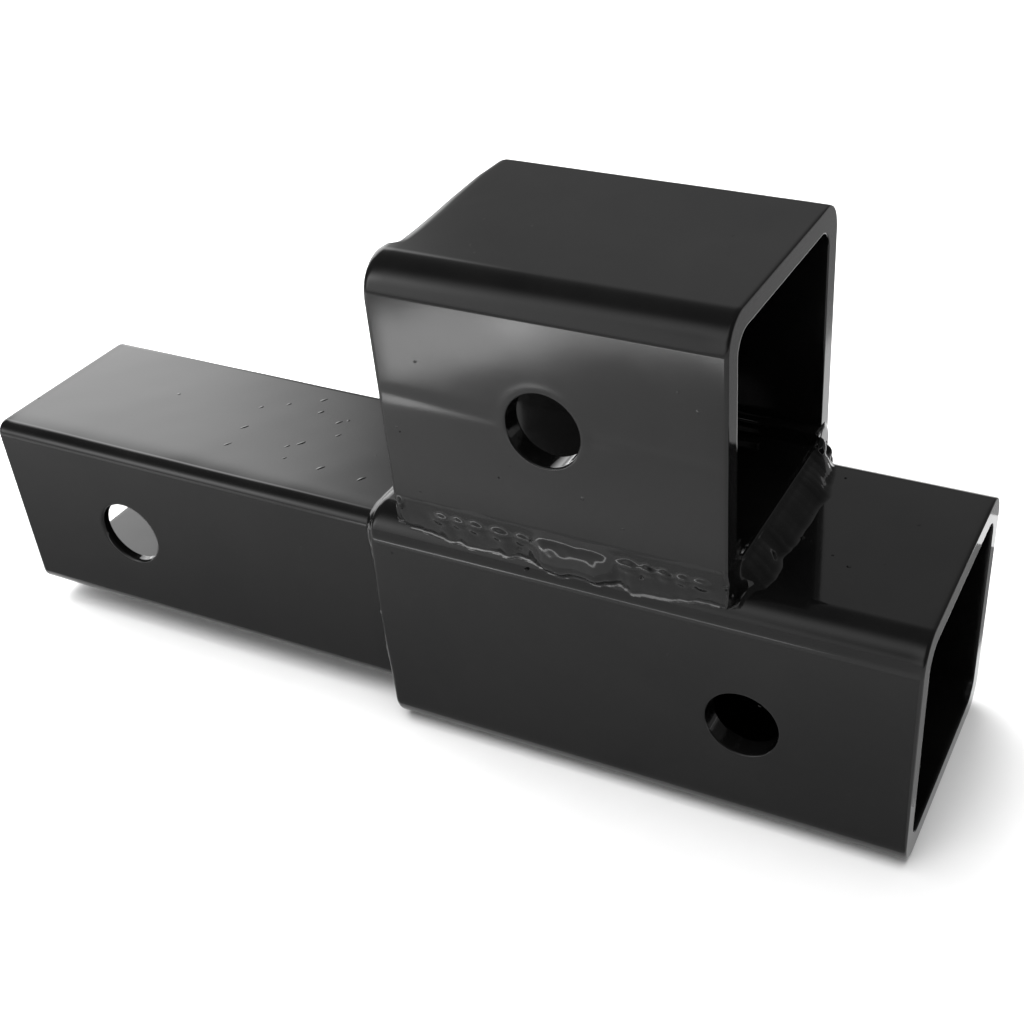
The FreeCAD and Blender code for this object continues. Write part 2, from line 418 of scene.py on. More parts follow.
# ------------------------------------------------------------------ weld metal as a distance field
def lerp_table(x, xs, ys):
    """Smooth interpolation in a table."""
    xs, ys = np.asarray(xs, float), np.asarray(ys, float)
    k = np.clip(np.searchsorted(xs, x) - 1, 0, len(xs) - 2)
    t = np.clip((x - xs[k]) / (xs[k + 1] - xs[k]), 0, 1)
    t = t * t * (3 - 2 * t)
    return ys[k] * (1 - t) + ys[k + 1] * t


def smin(a, b, k):
    h = np.maximum(k - abs(a - b), 0) / k
    return np.minimum(a, b) - h * h * k * 0.25


def smax(a, b, k):
    return -smin(-a, -b, k)


def square_sdf(y, z, half, r):
    f = half - r
    qy, qz = abs(y) - f, abs(z) - f
    return np.hypot(np.maximum(qy, 0), np.maximum(qz, 0)) + np.minimum(np.maximum(qy, qz), 0) - r


def tube_sdf(x, y, z, T, solid=False):
    """Distance to the tube's metal, mm, negative inside."""
    d = square_sdf(y, z - T["cz"], T["half"], T["r"])
    ends = np.maximum(T["x0"] - x, x - T["x1"])
    e = END_EDGE
    a, b = d + e, ends + e
    outer = np.minimum(np.maximum(a, b), 0) + np.hypot(np.maximum(a, 0), np.maximum(b, 0)) - e
    outer = outer + skin_depth(T, np.stack([x, y, z], -1))
    if solid:
        return outer
    inner = square_sdf(y, z - T["cz"], T["half"] - T["wall"], T["r_in"])
    return smax(outer, -inner, 0.3)


def surface_nets(func, lo, hi, h):
    """Closed quad mesh of func = 0 inside the box, then pulled onto the surface."""
    lo, hi = np.asarray(lo, float), np.asarray(hi, float)
    n = np.ceil((hi - lo) / h).astype(int) + 1
    axes = [lo[a] + h * np.arange(n[a]) for a in range(3)]
    G = np.stack(np.meshgrid(*axes, indexing="ij"), -1)
    F = func(G.reshape(-1, 3)).reshape(n)
    F[0], F[-1], F[:, 0], F[:, -1], F[:, :, 0], F[:, :, -1] = (1.0,) * 6
    F = np.where(abs(F) < 1e-6, 1e-6, F)
    inside = F < 0
    cells = tuple(n - 1)
    acc = np.zeros(cells + (3,))
    cnt = np.zeros(cells)
    for ax in range(3):
        s0 = [slice(None)] * 3; s1 = [slice(None)] * 3
        s0[ax] = slice(0, -1); s1[ax] = slice(1, None)
        A, B = F[tuple(s0)], F[tuple(s1)]
        cross = inside[tuple(s0)] != inside[tuple(s1)]
        t = np.where(cross, A / np.where(cross, A - B, 1), 0)
        idx = np.stack(np.meshgrid(*[np.arange(m) for m in A.shape], indexing="ij"), -1).astype(float)
        idx[..., ax] += t
        others = [a for a in range(3) if a != ax]
        for d0 in (0, 1):
            for d1 in (0, 1):
                s = [slice(None)] * 3
                s[others[0]] = slice(d0, n[others[0]] - 1 + d0)
                s[others[1]] = slice(d1, n[others[1]] - 1 + d1)
                m = cross[tuple(s)]
                acc += idx[tuple(s)] * m[..., None]
                cnt += m
    has = cnt > 0
    ids = -np.ones(cells, int)
    ids[has] = np.arange(has.sum())
    P = lo + h * acc[has] / cnt[has][:, None]
    quads = []
    for ax in range(3):
        b, c = (ax + 1) % 3, (ax + 2) % 3
        s0 = [slice(1, -1)] * 3; s1 = [slice(1, -1)] * 3
        s0[ax] = slice(0, -1); s1[ax] = slice(1, None)
        cross = inside[tuple(s0)] != inside[tuple(s1)]
        e = np.argwhere(cross)
        off = np.ones(3, int); off[ax] = 0
        e = e + off
        first = inside[tuple(e.T)]

        def cell(db, dc):
            q = e.copy(); q[:, b] += db; q[:, c] += dc
            return ids[tuple(q.T)]

        Q = np.stack([cell(-1, -1), cell(0, -1), cell(0, 0), cell(-1, 0)], 1)
        Q[~first] = Q[~first][:, ::-1]
        quads.append(Q)
    Q = np.concatenate(quads)
    # relax and project
    E = np.concatenate([Q[:, [0, 1]], Q[:, [1, 2]], Q[:, [2, 3]], Q[:, [3, 0]]])
    for _ in range(3):
        s = np.zeros_like(P); c = np.zeros(len(P))
        np.add.at(s, E[:, 0], P[E[:, 1]]); np.add.at(c, E[:, 0], 1)
        np.add.at(s, E[:, 1], P[E[:, 0]]); np.add.at(c, E[:, 1], 1)
        P = P + 0.5 * (s / c[:, None] - P)
        g = np.zeros_like(P)
        eps = 0.03
        for a in range(3):
            d = np.zeros(3); d[a] = eps
            g[:, a] = (func(P + d) - func(P - d)) / (2 * eps)
        v = func(P)
        g2 = np.maximum((g * g).sum(1), 0.2)
        move = -(v / g2)[:, None] * g
        size = np.linalg.norm(move, axis=1)
        move *= np.minimum(1, 0.4 * h / np.maximum(size, 1e-9))[:, None]
        P = P + move
    return P, Q


def biggest_part(P, Q):
    """Only the largest connected piece."""
    label = np.arange(len(P))
    while True:
        m = label[Q].min(1)
        new = label.copy()
        for k in range(4):
            np.minimum.at(new, Q[:, k], m)
        new = new[new]
        if (new == label).all():
            break
        label = new
    vals, counts = np.unique(label, return_counts=True)
    keep_v = label == vals[counts.argmax()]
    Q = Q[keep_v[Q[:, 0]]]
    remap = np.cumsum(keep_v) - 1
    return P[keep_v], remap[Q]


def weld_mesh(metal, base, k, embed=0.8, sink=0.03, toe=None):
    """Field of the visible weld: metal joined to base with a small paint fillet, and cut off below the base's skin.
    toe(x, y, z, m, b) can give its own blend of the two and how far the base's side is sunk."""
    def f(P):
        x, y, z = P[:, 0], P[:, 1], P[:, 2]
        m = metal(x, y, z)
        b = base(x, y, z)
        kk, g = k, None
        if toe is None:
            g = smin(m, b + sink, k)
        else:
            g, kk = toe(x, y, z, m, b)
        g = np.maximum(g, -(b + embed))
        g = np.maximum(g, m - (kk + 0.12))
        g = np.maximum(g, abs(y) - LIMIT_Y)
        return g
    return f


def ramp(v, a, b):
    t = np.clip((v - a) / (b - a), 0, 1)
    return t * t * (3 - 2 * t)


def bead_toe(x, y, z, m, b):
    """A narrow strip of paint along the lower toe, a soft blend along the upper one."""
    high = ramp(z, 31.0, 34.5)
    sink = 0.03 + 0.3 * ramp(z, 37.2, 41.5)
    k = TOE_K + (TOP_K - TOE_K) * high
    g = smin(m, b + sink, k)
    deg = lerp_table(x, TOE_X, TOE_A)
    a = np.radians(deg)
    skin = np.stack([x, -24.35 - 7.4 * np.cos(a), 24.35 + 7.4 * np.sin(a)], -1)
    r = 7.4 - skin_depth(LOWER, skin)
    yt, zt = -24.35 - r * np.cos(a), 24.35 + r * np.sin(a)
    full = ramp(x, 123.4, 129.0) * (1 - ramp(x, 139.5, 149.0))
    lean = (-12.4 - 0.5 * (deg - 20) - 0.0125 * (deg - 20) ** 2) * (1 - full) - 45.0 * full
    tilt = 11.9 + 0.8 * ramp(x, 110.0, 124.0)
    s1 = np.sin(np.radians(np.maximum(deg - tilt, 5.0)))
    s2 = np.sin(np.radians(tilt - lean))
    lift = STRIP_W / (1 / s1 + 1 / s2)
    e = np.radians(tilt)
    plane = -(y - yt) * np.cos(e) + (z - zt) * np.sin(e) - lift
    strip = np.maximum(plane, np.hypot(y - yt, z - zt) - 1.3 * STRIP_W)
    strip = np.maximum(strip, np.maximum(93.2 - x, x - 169.0))
    return smin(g, strip, 0.06), np.maximum(k, 0.55)


TOE_K, TOP_K = 0.30, 1.0
STRIP_W = 0.80


# ---- the long beads in the grooves
# Lower toe: degrees up from the side face round the lower tube's corner, along x
TOE_X = [91.1, 92.7, 94.3, 95.8, 98.5, 101.2, 103.9, 106.4, 109.1, 111.6, 116.2, 118.3, 121.6, 124.2, 126.8, 128.9, 131.9, 135.4, 137.8, 140.5, 143.3, 146.0, 147.5, 149.0, 152.0, 154.3, 156.6, 161.0, 164.3, 166.5, 167.9, 169.5, 172]
TOE_A = [44, 41.7, 41.7, 41.6, 39.9, 38.2, 34.0, 36.5, 32.3, 33.9, 35.6, 32.2, 38.0, 35.5, 29.7, 23.0, 19.6, 26.0, 25.2, 21.4, 27.3, 33.0, 28.9, 23.1, 26.9, 27.7, 28.5, 33.3, 37.6, 38.4, 37.6, 37, 36]


def toe_circle(a_low, z_up, bulge, r_low=7.4):
    """Centre and radius of the arc that starts on the lower corner at angle a_low, ends at height z_up on the upper corner and bulges out."""
    a = np.radians(a_low)
    y1, z1 = -24.35 - r_low * np.cos(a), 24.35 + r_low * np.sin(a)
    dz = np.clip((39.15 - z_up) / 7.4, 0, 0.95)
    y2, z2 = -24.35 - 7.4 * np.sqrt(1 - dz * dz), z_up
    my, mz = (y1 + y2) / 2, (z1 + z2) / 2
    cy, cz = y2 - y1, z2 - z1
    c = np.hypot(cy, cz)
    oy, oz = -cz / c, cy / c            # outwards
    R = (c * c / 4 + bulge * bulge) / (2 * bulge)
    return my - oy * (R - bulge), mz - oz * (R - bulge), R


# lumps in the near bead: x, z, how far they stand out, half length along x, half height
NEAR_LUMPS = [
    (96.5, 34.2, 0.10, 1.8, 1.5), (102.9, 34.9, 0.58, 2.3, 1.75), (107.3, 34.9, 0.56, 1.8, 1.7), (111.8, 34.8, 0.60, 2.2, 1.75),
    (117.8, 34.6, 0.64, 2.6, 1.8), (123.2, 34.6, 0.56, 2.1, 1.6), (148.4, 34.4, 0.66, 2.5, 1.85), (153.2, 34.5, 0.54, 1.8, 1.6),
    (157.0, 34.3, 0.54, 1.7, 1.6), (161.0, 34.2, 0.57, 1.7, 1.6), (165.2, 34.2, 0.60, 2.2, 1.6),
    (104.0, 31.6, 0.05, 2.6, 1.4), (117.6, 31.4, 0.05, 2.6, 1.4), (149.8, 30.8, 0.08, 2.4, 1.4), (160.5, 31.2, 0.06, 2.8, 1.4),
    ]
# small pits in it: x, z, depth, radius
NEAR_PITS = [(151.6, 32.4, 0.42, 0.42), (122.0, 31.4, 0.26, 0.5), (125.7, 35.3, 0.34, 0.34), (154.0, 35.7, 0.20, 0.7), (158.2, 35.2, 0.18, 0.6)]


def groove_bead(x, y, z, side, seed, lumps, pits, toe_a, z_up0, bulge0, ripple):
    """Distance to a side bead; side is -1 for the camera side and 1 for the far one."""
    yy = y * (-side)                     # always worked out for the camera side
    a = lerp_table(x, TOE_X, toe_a)
    rng = np.random.default_rng(seed)
    ph = rng.uniform(0, 6.28, 6)
    z_up = z_up0 + 0.25 * np.sin(x / 4.1 + ph[0]) + 0.10 * np.sin(x / 1.6 + ph[1])
    bulge = bulge0 + 0.06 * np.sin(x / 5.3 + ph[2]) + 0.03 * np.sin(x / 1.9 + ph[3])
    ar = np.radians(a)
    r_low = 7.4 - (skin_depth(LOWER, np.stack([x, -24.35 - 7.4 * np.cos(ar), 24.35 + 7.4 * np.sin(ar)], -1)) if side < 0 else 0)
    cy, cz, R = toe_circle(a, z_up, bulge, r_low)
    dy, dz = yy - cy, z - cz
    d = np.hypot(dy, dz) - R
    if side < 0:
        # the fat stretch, which sags over the lower tube
        full = ramp(x, 123.4, 129.0) * (1 - ramp(x, 139.5, 149.0))
        y1, z1 = -24.35 - r_low * np.cos(ar), 24.35 + r_low * np.sin(ar)
        fat = np.hypot(yy + 10.12 - 0.08 * np.sin(x / 2.6), z - 29.2 - 0.25 * np.sin(x / 3.4 + 1)) - 22.9
        under = -(yy - y1) * 0.643 - (z - z1) * 0.766
        d = d * (1 - full) + smax(fat, under, 1.6) * full
    # ripples left by the moving arc, bowed round the bead, with narrow valleys
    phi = np.arctan2(dz, -dy)
    u = x + 1.5 * (1 - np.cos(phi * 1.1)) + 0.35 * np.sin(x / 5.3 + ph[4])
    w = (u / 2.35) % 1.0
    arc = 1 - (2 * w - 1) ** 2
    amp = ripple * (1 + 0.6 * np.sin(x / 9.0 + ph[5]))
    d = d - amp * (arc - 0.5) * np.clip(1 - abs(phi) / 1.3, 0, 1)
    for lx, lz, s, rx, rz in lumps:
        e = ((x - lx) / rx) ** 2 + ((z - lz) / rz) ** 2
        d = d - s * np.exp(-1.1 * e ** 1.35)
    for lx, lz, s, r in pits:
        e = ((x - lx) / r) ** 2 + ((z - lz) / r) ** 2
        d = d + s * np.exp(-e)
    P = np.stack([x, yy, z], -1)
    d = d - 0.018 * smooth_noise(P, seed + 9, (2.2, 5.0), 9)
    return d


def end_cut(x, x0, x1, k=0.6):
    return np.maximum(x0 - x, x - x1)


def receivers(x, y, z):
    return np.minimum(tube_sdf(x, y, z, LOWER), tube_sdf(x, y, z, UPPER))


def ellipsoid(x, y, z, c, r):
    """Rough distance to an ellipsoid."""
    k0 = np.sqrt(((x - c[0]) / r[0]) ** 2 + ((y - c[1]) / r[1]) ** 2 + ((z - c[2]) / r[2]) ** 2)
    k1 = np.sqrt(((x - c[0]) / r[0] ** 2) ** 2 + ((y - c[1]) / r[1] ** 2) ** 2 + ((z - c[2]) / r[2] ** 2) ** 2)
    return k0 * (k0 - 1) / np.maximum(k1, 1e-6)


def near_metal(x, y, z):
    d = groove_bead(x, y, z, -1, 31, NEAR_LUMPS, NEAR_PITS, TOE_A, 37.0, 0.45, 0.006)
    start = 91.6 + 0.5 * np.clip((36 - z) / 4, 0, 1)
    d = smax(d, start - x, 0.5)
    d = smax(d, x - 172.2 + 1.5 * ramp(z, 34.0, 37.0), 2.0)
    # the start of the bead, where the end fillet runs round onto it
    d = smin(d, ellipsoid(x, y, z, (92.8, -31.0, 36.6), (0.95, 1.3, 1.7)), 0.3)
    # pinholes where it meets the front fillet
    for px, pz, s, r in ((170.9, 34.0, 0.35, 0.4), (171.6, 34.9, 0.35, 0.4), (171.6, 33.0, 0.35, 0.4), (170.4, 35.2, 0.3, 0.4)):
        d = d + s * np.exp(-((x - px) ** 2 + (z - pz) ** 2) / r ** 2)
    return d


FAR_RNG = np.random.default_rng(77)
FAR_LUMPS = [(94.5 + 4.15 * i + FAR_RNG.uniform(-0.7, 0.7), FAR_RNG.uniform(33.2, 35.4), FAR_RNG.uniform(0.18, 0.42), FAR_RNG.uniform(1.4, 2.3), FAR_RNG.uniform(1.3, 2.0)) for i in range(19)]
FAR_TOE = [33 + 5 * math.sin(v * 0.41) + 4 * math.sin(v * 0.93 + 1) for v in TOE_X]


def far_metal(x, y, z):
    d = groove_bead(x, y, z, 1, 53, FAR_LUMPS, [(133.0, 32.0, 0.3, 0.4)], FAR_TOE, 37.3, 1.2, 0.05)
    return smax(d, end_cut(x, 91.2, 171.6), 1.2)


# ---- the fillets under the upper receiver's ends
FRONT_Y = [-29.2, -26.6, -24.3, -20.5, -17, -13, -9.5, -6.5, -2, 2.1, 7.7, 13, 18.5, 21.5, 24, 26.6, 29.2]
FRONT_T = [1.3, 2.5, 4.75, 5.35, 5.3, 4.3, 4.9, 5.35, 5.2, 5.4, 5.35, 6.1, 4.9, 4.5, 3.9, 2.6, 1.5]     # toe's reach from the end face
FRONT_U = [5.6, 5.2, 4.9, 4.75, 4.8, 4.7, 4.85, 4.8, 4.75, 4.8, 4.75, 4.85, 5.0, 5.6, 5.3, 4.6, 4.8]     # height on the end face


def end_fillet(x, y, z, x_face, out, ys, reach, rise, bulge, y_end, seed):
    """Distance to a fillet that lies on the lower receiver's top and against an end face of the upper one.
    out is 1 where the fillet grows towards +x."""
    yc = np.clip(y, -y_end, y_end)
    t = lerp_table(yc, ys, reach)
    u = lerp_table(yc, ys, rise)
    drop = np.where(abs(yc) > 24.35, 7.4 - np.sqrt(np.maximum(7.4 ** 2 - (abs(yc) - 24.35) ** 2, 0)), 0)
    ax, az = t, 31.75 - drop             # toe, measured from the end face
    bx, bz = np.zeros_like(t), 31.75 + u
    mx, mz = (ax + bx) / 2, (az + bz) / 2
    cx, cz = ax - bx, az - bz
    c = np.hypot(cx, cz)
    ox, oz = -cz / c, cx / c
    b = bulge * np.clip(c / 7.0, 0.6, 1.1)
    R = (c * c / 4 + b * b) / (2 * b)
    px, pz = mx - ox * (R - b), mz - oz * (R - b)
    xx = (x - x_face) * out
    d = np.sqrt((xx - px) ** 2 + (y - yc) ** 2 * 1.6 + (z - pz) ** 2) - R
    d = smax(d, az - 0.5 - z, 0.8)
    d = smax(d, -0.15 - xx, 0.3)
    P = np.stack([x, y, z], -1)
    rng = np.random.default_rng(seed)
    ph = rng.uniform(0, 6.28, 3)
    phi = np.arctan2(z - pz, xx - px)
    w = ((y + 1.3 * np.cos((phi - 0.8) * 1.2) + 0.4 * np.sin(y / 4 + ph[0])) / 2.6) % 1.0
    d = d - (0.035 + 0.02 * np.sin(y / 6 + ph[1])) * (1 - (2 * w - 1) ** 2 - 0.5)
    return d - 0.05 * smooth_noise(P, seed, (4.0, 9.0), 8)


def front_metal(x, y, z):
    d = end_fillet(x, y, z, 171.1, 1, FRONT_Y, FRONT_T, FRONT_U, 0.6, 28.6, 61)
    d = smin(d, ellipsoid(x, y, z, (171.9, 23.6, 36.6), (1.5, 1.9, 3.2)), 0.8)
    d = smin(d, ellipsoid(x, y, z, (172.0, 27.6, 33.6), (1.7, 1.6, 1.9)), 0.8)
    d = smin(d, ellipsoid(x, y, z, (171.7, 30.0, 30.2), (1.5, 1.5, 1.6)), 0.8)
    for px, py, pz, s, r in ((172.3, -30.6, 34.4, 0.3, 0.45), (172.0, -31.4, 33.2, 0.3, 0.4), (172.7, -29.6, 33.2, 0.25, 0.4)):
        d = d + s * np.exp(-((x - px) ** 2 + (y - py) ** 2 + (z - pz) ** 2) / r ** 2)
    return d


REAR_RNG = np.random.default_rng(88)
REAR_T = [1.6, 2.6] + [4.9 + REAR_RNG.uniform(-0.6, 0.6) for _ in range(13)] + [2.7, 1.6]
REAR_U = [5.4, 5.2] + [4.9 + REAR_RNG.uniform(-0.3, 0.4) for _ in range(13)] + [5.2, 5.2]


def rear_metal(x, y, z):
    return smax(end_fillet(x, y, z, 91.3, -1, FRONT_Y, REAR_T, REAR_U, 1.15, 28.6, 67), abs(y) - 29.6, 1.6)


# ---- the ring where the shank enters the lower receiver
def shank_metal(x, y, z):
    f = 25.4 - 3.5
    qy, qz = abs(y) - f, abs(z) - f
    d2 = np.hypot(np.maximum(qy, 0), np.maximum(qz, 0)) + np.minimum(np.maximum(qy, qz), 0) - 3.5   # from the shank's skin
    ang = np.arctan2(z, y)
    s = ang * 30.0                       # rough distance round the ring
    P = np.stack([x, y, z], -1)
    reach = 4.3 + 0.35 * np.sin(s / 5.1 + 1) + 0.25 * np.sin(s / 2.3)
    rise = 4.4 + 0.30 * np.sin(s / 6.3 + 2) + 0.2 * np.sin(s / 1.9 + 1)
    ax, ar = reach, 0.0
    bx, br = 0.0, rise
    c = np.hypot(reach, rise)
    ox, orr = rise / c, reach / c
    b = 1.0
    R = (c * c / 4 + b * b) / (2 * b)
    px, pr = reach / 2 - ox * (R - b), rise / 2 - orr * (R - b)
    xx = 82.5 - x
    d = np.hypot(xx - px, d2 - pr) - R
    phi = np.arctan2(d2 - pr, xx - px)
    w = ((s + 1.4 * np.cos((phi - 0.8) * 1.3)) / 2.7) % 1.0
    d = d - (0.06 + 0.03 * np.sin(s / 11.0)) * (1 - (2 * w - 1) ** 2 - 0.5)
    return d - 0.05 * smooth_noise(P, 71, (3.0, 8.0), 8)


def shank_base(x, y, z):
    return np.minimum(tube_sdf(x, y, z, LOWER), tube_sdf(x, y, z, SHANK))


# ------------------------------------------------------------------ small grains on the skin
def grain_mesh(grains):
    """Small closed domes. Each is (centre on the skin, outward normal, long direction, half length, half width, height, sink)."""
    verts, faces, n0 = [], [], 0
    rings, seg = 5, 14
    for c, n, t, a, b, h, sink in grains:
        c, n, t = np.array(c, float), np.array(n, float), np.array(t, float)
        n /= np.linalg.norm(n)
        t = t - n * (t @ n)
        t /= np.linalg.norm(t)
        s = np.cross(n, t)
        pts = [c + n * h]
        for k in range(1, rings + 1):
            u = k / rings
            height = h * math.cos(u * math.pi / 2) ** 2 if k < rings else -sink
            for m in range(seg):
                q = 2 * math.pi * m / seg
                wob = 1 + 0.12 * math.sin(3 * q + c[0] * 3.1) * u
                pts.append(c + t * a * u * wob * math.cos(q) + s * b * u * wob * math.sin(q) + n * height)
        pts.append(c - n * (sink + 0.12))
        last = len(pts) - 1
        for m in range(seg):
            m2 = (m + 1) % seg
            faces.append((n0, n0 + 1 + m, n0 + 1 + m2))
            for k in range(rings - 1):
                p, q = n0 + 1 + k * seg, n0 + 1 + (k + 1) * seg
                faces.append((p + m, q + m, q + m2, p + m2))
            p = n0 + 1 + (rings - 1) * seg
            faces.append((p + m, n0 + last, p + m2))
        verts.extend(pts)
        n0 += len(pts)
    return np.array(verts), faces


# ------------------------------------------------------------------ node helpers
class Graph:
    def __init__(self, tree):
        tree.nodes.clear()
        self.n, self.l = tree.nodes, tree.links

    def node(self, kind, **values):
        nd = self.n.new(kind)
        for k, v in values.items():
            setattr(nd, k, v)
        return nd

    def put(self, socket, value):
        if hasattr(value, "default_value") and hasattr(value, "is_output"):
            self.l.new(value, socket)
        else:
            socket.default_value = value

    def math(self, op, a, b=None, clamp=False):
        nd = self.node("ShaderNodeMath", operation=op, use_clamp=clamp)
        self.put(nd.inputs[0], a)
        if b is not None:
            self.put(nd.inputs[1], b)
        return nd.outputs[0]

    def remap(self, v, a, b, c, d, smooth=False):
        nd = self.node("ShaderNodeMapRange")
        nd.interpolation_type = "SMOOTHSTEP" if smooth else "LINEAR"
        self.put(nd.inputs["Value"], v)
        for name, x in (("From Min", a), ("From Max", b), ("To Min", c), ("To Max", d)):
            nd.inputs[name].default_value = x
        return nd.outputs["Result"]

    def noise(self, vec, scale, detail=2.0, rough=0.5, distortion=0.0):
        nd = self.node("ShaderNodeTexNoise")
        nd.inputs["Scale"].default_value = scale
        nd.inputs["Detail"].default_value = detail
        nd.inputs["Roughness"].default_value = rough
        nd.inputs["Distortion"].default_value = distortion
        self.l.new(vec, nd.inputs["Vector"])
        return nd.outputs["Fac"]

    def bump(self, height, distance, strength=1.0, normal=None):
        nd = self.node("ShaderNodeBump")
        nd.inputs["Strength"].default_value = strength
        nd.inputs["Distance"].default_value = distance
        self.l.new(height, nd.inputs["Height"])
        if normal is not None:
            self.l.new(normal, nd.inputs["Normal"])
        return nd.outputs["Normal"]


def paint(name, tone=0.0028, rough=0.075, rough_var=0.025, peel=0.0016, peel_size=620.0, weld=False, inside=False):
    """Thick gloss black paint: orange peel, a few dust nibs, and slightly duller patches."""
    mat = bpy.data.materials.new(name)
    mat.use_nodes = True
    g = Graph(mat.node_tree)
    out = g.node("ShaderNodeOutputMaterial")
    bsdf = g.node("ShaderNodeBsdfPrincipled")
    g.l.new(bsdf.outputs[0], out.inputs[0])
    tc = g.node("ShaderNodeTexCoord")
    obj = tc.outputs["Object"]
    cloud = g.noise(obj, 38.0, 4.0, 0.6, 0.6)
    fine = g.noise(obj, 900.0, 3.0, 0.6)
    # colour: near black, very slightly lighter where the paint is thin
    mix = g.node("ShaderNodeMix", data_type="RGBA")
    mix.inputs["A"].default_value = (tone * 0.8, tone * 0.8, tone * 0.82, 1)
    mix.inputs["B"].default_value = (tone * 1.5, tone * 1.48, tone * 1.45, 1)
    g.l.new(g.remap(cloud, 0.3, 0.7, 0, 1), mix.inputs["Factor"])
    g.l.new(mix.outputs["Result"], bsdf.inputs["Base Color"])
    # roughness
    r1 = g.remap(cloud, 0.3, 0.72, rough - rough_var, rough + rough_var, True)
    r2 = g.math("ADD", r1, g.remap(fine, 0.45, 0.8, 0, rough_var * 0.8))
    g.l.new(r2, bsdf.inputs["Roughness"])
    bsdf.inputs["IOR"].default_value = 1.33
    # relief
    peel_tex = g.noise(obj, peel_size, 1.5, 0.5)
    n1 = g.bump(peel_tex, peel * MM * 1000 * 0.001)
    vor = g.node("ShaderNodeTexVoronoi")
    vor.feature = "F1"
    vor.inputs["Scale"].default_value = 120.0 if not weld else 260.0
    vor.inputs["Randomness"].default_value = 1.0
    g.l.new(obj, vor.inputs["Vector"])
    dust = g.remap(vor.outputs["Distance"], 0.02, 0.075, 1, 0, True)
    pick = g.node("ShaderNodeSeparateColor")
    g.l.new(vor.outputs["Color"], pick.inputs[0])
    some = g.math("GREATER_THAN", pick.outputs[0], 0.62 if not weld else 0.5)
    n2 = g.bump(g.math("MULTIPLY", dust, some), 0.00007 if not weld else 0.0001, 1.0, n1)
    g.l.new(n2, bsdf.inputs["Normal"])
    return mat


# ------------------------------------------------------------------ build
paint_tube = paint("gloss_black_paint")
paint_inside = paint("gloss_black_paint_inside", tone=0.0022, rough=0.14, rough_var=0.05, peel=0.0022, peel_size=420.0, inside=True)
paint_weld = paint("gloss_black_paint_on_weld", tone=0.0026, rough=0.045, rough_var=0.015, peel=0.0016, peel_size=900.0, weld=True)
paint_grain = paint("gloss_black_paint_on_grains", tone=0.003, rough=0.07, rough_var=0.02, peel=0.001, peel_size=1500.0, weld=True)


def lower_edge(po, end):
    """The rear end's near top corner is ground rounder than the rest."""
    if end == 0:
        ang = np.degrees(np.arctan2(po[:, 1], -po[:, 0]))       # 0 at the near face, 90 at the top
        return 1.25 * np.exp(-((ang - 57) / 19.0) ** 2) - 0.45 * np.exp(-(ang / 22.0) ** 4)
    return np.where(po[:, 0] > 20, -0.35, 0.0) * np.clip((po[:, 0] - 20) / 8, 0, 1)


def upper_edge(po, end):
    """The rear end is ground rounder along its top."""
    if end == 0:
        ang = np.degrees(np.arctan2(po[:, 1], -po[:, 0])) % 360       # 0 at the near face, 90 at the top
        return np.interp(ang, [36, 40, 45, 51, 56, 64, 81, 92, 117, 128, 138, 150], [0.1, 0.7, 1.3, 1.6, 2.0, 2.0, 1.8, 1.6, 1.2, 1.5, 0.8, 0.0])
    return np.where(po[:, 0] > 20, -0.45, 0.0) * np.clip((po[:, 0] - 20) / 8, 0, 1)


def upper_cut(po):
    """How far the rear end is ground back: a slope along the top, deepest beside the near corner."""
    ang = np.degrees(np.arctan2(po[:, 1], -po[:, 0])) % 360
    return np.interp(ang, [52.6, 54.6, 56.5, 64, 81, 92, 117, 128, 136], [0, 0, 1.9, 1.8, 1.25, 0.8, 0.1, 0.1, 0.0])


def seam(amount, side_y, cz):
    """A low line of weld flash in the far bottom corner inside, along x."""
    def move(P):
        P = P.copy()
        cy, c = side_y - 4.9, cz - (side_y - 4.9)
        dy, dz = P[:, 1] - cy, P[:, 2] - c
        d = np.hypot(dy, dz)
        corner = (dy > 0.05) & (dz < -0.05) & (d > 4.5)
        ang = np.degrees(np.arctan2(-dz, dy))
        rise = amount * np.exp(-((ang - 45) / 5.5) ** 2) * (1 + 0.2 * np.sin(P[:, 0] * 0.9))
        k = np.where(corner, rise / np.maximum(d, 1e-6), 0)
        P[:, 1] -= dy * k
        P[:, 2] -= dz * k
        return P
    return move


build_tube("shank", SHANK, paint_tube, paint_inside)
build_tube("lower_receiver", LOWER, paint_tube, paint_inside, edge_at=lower_edge, inner_shape=seam(0.25, 26.55, 0.0))
build_tube("upper_receiver", UPPER, paint_tube, paint_inside, edge_at=upper_edge, inner_shape=seam(0.25, 26.55, 63.5), cut_at=upper_cut)

